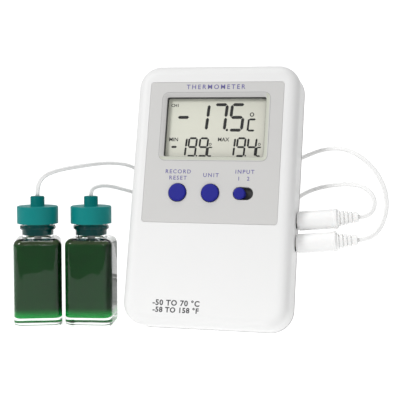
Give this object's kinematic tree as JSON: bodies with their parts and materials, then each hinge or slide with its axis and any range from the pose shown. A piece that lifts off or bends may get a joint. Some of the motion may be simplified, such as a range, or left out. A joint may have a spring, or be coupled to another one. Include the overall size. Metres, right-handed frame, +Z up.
{
  "type": "two-channel digital thermometer",
  "caption": "Digital thermometer with display and stand, and two glycol bottle probes on plug-in leads.",
  "frame": {"origin": "on the table, in the middle of the footprint of the case, its stand and the two bottles", "axes": "+Z up, the display faces -Y and leans back 15 degrees, +X is the viewer's right, where the plugs are"},
  "size_m": [0.1603, 0.0925, 0.1104],
  "materials": {
    "case_white": "fine-textured off-white ABS",
    "fascia_grey": "warm light grey printed film",
    "lens_clear": "clear acrylic window",
    "lcd_glass": "liquid crystal cell",
    "reflector": "grey-green reflective film",
    "black_plastic": "black moulded plastic",
    "frame_white": "moulded display frame",
    "strip_rubber": "layered contact rubber",
    "board_green": "green circuit board",
    "button_blue": "satin blue plastic",
    "steel": "zinc-plated screw steel",
    "nickel": "nickel-plated plug metal",
    "stem_steel": "bright stainless tube",
    "battery_wrap": "printed dry cell jacket",
    "plug_white": "soft white moulding",
    "bottle_glass": "clear moulded glass",
    "glycol_green": "dyed green liquid",
    "liner_foam": "white foam liner",
    "cap_teal": "teal moulded cap",
    "gland_teal": "darker teal gland",
    "lead_white": "white flat twin wire",
    "tie_black": "hook and loop band"
  },
  "bodies": {
    "thermometer": {"front_case": "case_white", "rear_case": "case_white", "fascia": "fascia_grey", "display_lens": "lens_clear", "lcd_glass": "lcd_glass", "lcd_reflector": "reflector", "selector_switch": "black_plastic", "jack_socket_1": "black_plastic", "jack_socket_2": "black_plastic", "button_switches": "black_plastic", "controller_chip": "black_plastic", "board_components": "black_plastic", "lcd_frame": "frame_white", "battery_tray": "frame_white", "contact_strip": "strip_rubber", "circuit_board": "board_green", "case_screws": "steel", "board_screws": "steel", "battery_spring": "steel", "battery_contact": "steel", "battery": "battery_wrap", "bottle_1": "bottle_glass", "bottle_2": "bottle_glass", "glycol_1": "glycol_green", "glycol_2": "glycol_green", "lead_1_plug_side": "lead_white", "lead_1_bottle_side": "lead_white", "lead_2_plug_side": "lead_white", "lead_2_bottle_side": "lead_white", "coil_1": "lead_white", "coil_2": "lead_white", "coil_tie_1": "tie_black", "coil_tie_2": "tie_black"},
    "memory_button": {"memory_button": "button_blue"},
    "mode_button": {"mode_button": "button_blue"},
    "selector": {"selector_lever": "black_plastic", "selector_knob": "button_blue"},
    "battery_door": {"battery_door": "case_white"},
    "stand": {"stand": "case_white"},
    "plug_1": {"plug_sleeve_1": "nickel", "plug_insulator_1": "black_plastic", "plug_tip_1": "nickel", "plug_grip_1": "plug_white", "plug_boot_1": "plug_white"},
    "plug_2": {"plug_sleeve_2": "nickel", "plug_insulator_2": "black_plastic", "plug_tip_2": "nickel", "plug_grip_2": "plug_white", "plug_boot_2": "plug_white"},
    "probe_1": {"probe_gland_1": "gland_teal", "probe_stem_1": "stem_steel", "cap_liner_1": "liner_foam"},
    "probe_2": {"probe_gland_2": "gland_teal", "probe_stem_2": "stem_steel", "cap_liner_2": "liner_foam"},
    "cap_1": {"cap_1": "cap_teal"},
    "cap_2": {"cap_2": "cap_teal"}
  },
  "joints": [
    {"name": "memory_button_press", "type": "slide", "parent": "thermometer", "child": "memory_button", "axis": [0, 0.9659, -0.2588], "range_m": [0, 0.0007], "stiffness_N_per_m": 300, "springref_m": -0.0015},
    {"name": "mode_button_press", "type": "slide", "parent": "thermometer", "child": "mode_button", "axis": [0, 0.9659, -0.2588], "range_m": [0, 0.0007], "stiffness_N_per_m": 300, "springref_m": -0.0015},
    {"name": "selector_slide", "type": "slide", "parent": "thermometer", "child": "selector", "axis": [1, 0, 0], "range_m": [0, 0.0031]},
    {"name": "battery_door_hinge", "type": "hinge", "parent": "thermometer", "child": "battery_door", "pos_m": [0.02645, 0.01596, 0.087], "axis": [1, 0, 0], "range_deg": [0, 75]},
    {"name": "stand_fold", "type": "hinge", "parent": "thermometer", "child": "stand", "pos_m": [0.02645, -0.00055, 0.0277], "axis": [1, 0, 0], "range_deg": [0, 122.4]},
    {"name": "plug_1_pull", "type": "slide", "parent": "thermometer", "child": "plug_1", "axis": [0.9957, 0.0239, 0.0892], "range_m": [0, 0.0145], "deforming": ["lead_2_plug_side"]},
    {"name": "plug_2_pull", "type": "slide", "parent": "thermometer", "child": "plug_2", "axis": [0.9957, 0.0239, 0.0892], "range_m": [0, 0.0145], "deforming": ["lead_1_plug_side"]},
    {"name": "probe_1_rise", "type": "slide", "parent": "thermometer", "child": "probe_1", "axis": [0, 0, 1], "range_m": [0, 0.00353], "deforming": ["lead_1_bottle_side"]},
    {"name": "cap_1_turn", "type": "hinge", "parent": "probe_1", "child": "cap_1", "pos_m": [-0.04945, -0.01286, 0.045], "axis": [0, 0, 1], "range_deg": [0, 400]},
    {"name": "probe_2_rise", "type": "slide", "parent": "thermometer", "child": "probe_2", "axis": [0, 0, 1], "range_m": [0, 0.00353], "deforming": ["lead_2_bottle_side"]},
    {"name": "cap_2_turn", "type": "hinge", "parent": "probe_2", "child": "cap_2", "pos_m": [-0.02735, -0.00666, 0.045], "axis": [0, 0, 1], "range_deg": [0, 400]}
  ],
  "couplings": [
    {"joint": "cap_1_turn", "follows": "probe_1_rise", "rad_per_m": 1979},
    {"joint": "cap_2_turn", "follows": "probe_2_rise", "rad_per_m": 1979}
  ]
}
